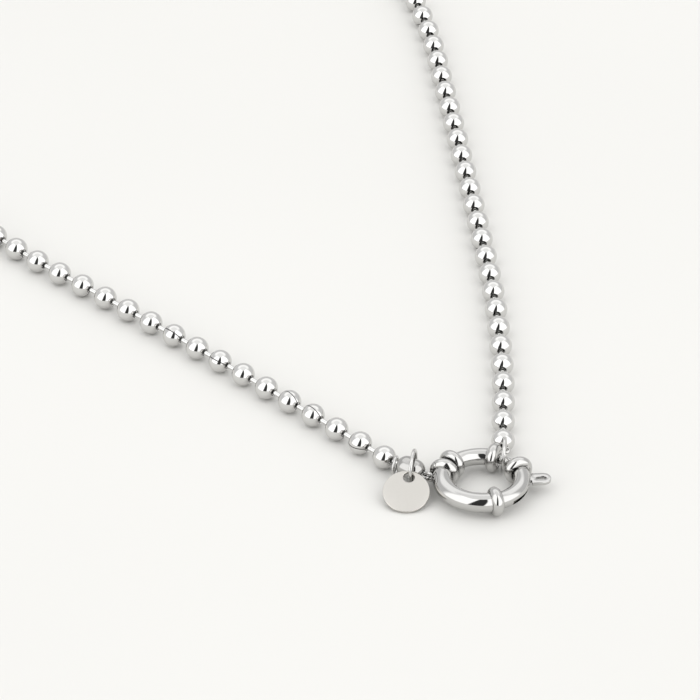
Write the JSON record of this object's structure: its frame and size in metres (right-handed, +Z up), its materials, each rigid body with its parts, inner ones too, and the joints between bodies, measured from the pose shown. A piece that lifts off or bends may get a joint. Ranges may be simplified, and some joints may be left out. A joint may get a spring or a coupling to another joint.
{
  "type": "ball chain necklace",
  "caption": "Ball chain necklace of hollow steel balls on link pins, closed by a round bolt clasp, with a long end bead, jump rings and a small plain disc tag.",
  "frame": {"origin": "middle of the necklace's outline as it lies, on the floor that it rests on", "axes": "+Z up from the floor, +Y from the clasp towards the far end of the loop, +X to the side on which the clasp lies"},
  "size_m": [0.1232, 0.2042, 0.0062],
  "materials": {
    "polished_steel": "polished",
    "bright_steel": "polished",
    "clasp_steel": "polished",
    "satin_tag": "satin"
  },
  "bodies": {
    "necklace": {"chain_balls": "polished_steel", "chain_links": "bright_steel", "end_cap": "polished_steel", "small_ring": "bright_steel", "clasp_ring": "clasp_steel", "gate_ring": "bright_steel", "end_eye": "bright_steel", "tag_ring": "bright_steel", "tag": "satin_tag"},
    "bolt": {"clasp_bolt": "clasp_steel"}
  },
  "joints": [
    {"name": "bolt_slide", "type": "hinge", "parent": "necklace", "child": "bolt", "pos_m": [0.05018, -0.09337, 0.0025], "axis": [0, 0, 1], "range_deg": [-50, 0], "stiffness_Nm_per_rad": 0.002, "springref_deg": 20.05}
  ]
}
